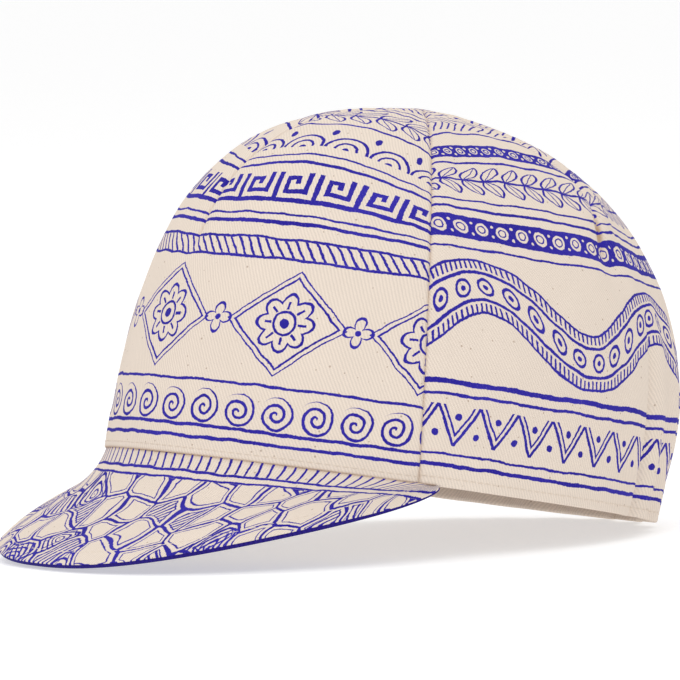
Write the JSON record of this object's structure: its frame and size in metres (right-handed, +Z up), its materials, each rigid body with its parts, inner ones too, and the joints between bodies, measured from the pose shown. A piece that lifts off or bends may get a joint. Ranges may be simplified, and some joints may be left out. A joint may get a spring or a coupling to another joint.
{
  "type": "cycling cap",
  "caption": "Cotton cycling cap: a close three-panel crown with sewn darts, gathered at the back, and a short turned-down peak.",
  "frame": {"origin": "middle of the bounding box at floor level, under the crown; the cap stands on its back edge and the front of its peak", "axes": "+Z up, -Y to the front where the peak points, +X to the wearer's left"},
  "size_m": [0.1542, 0.2454, 0.1426],
  "materials": {
    "printed_twill": "cream cotton twill with blue line ornament, matt",
    "peak_print": "cream cotton twill with dense blue line ornament, matt",
    "blue_twill": "deep blue cotton twill, matt"
  },
  "bodies": {
    "root": {"front_panel": "printed_twill", "left_rear_panel": "printed_twill", "right_rear_panel": "printed_twill", "peak_top": "peak_print", "peak_underside": "blue_twill"}
  },
  "joints": []
}
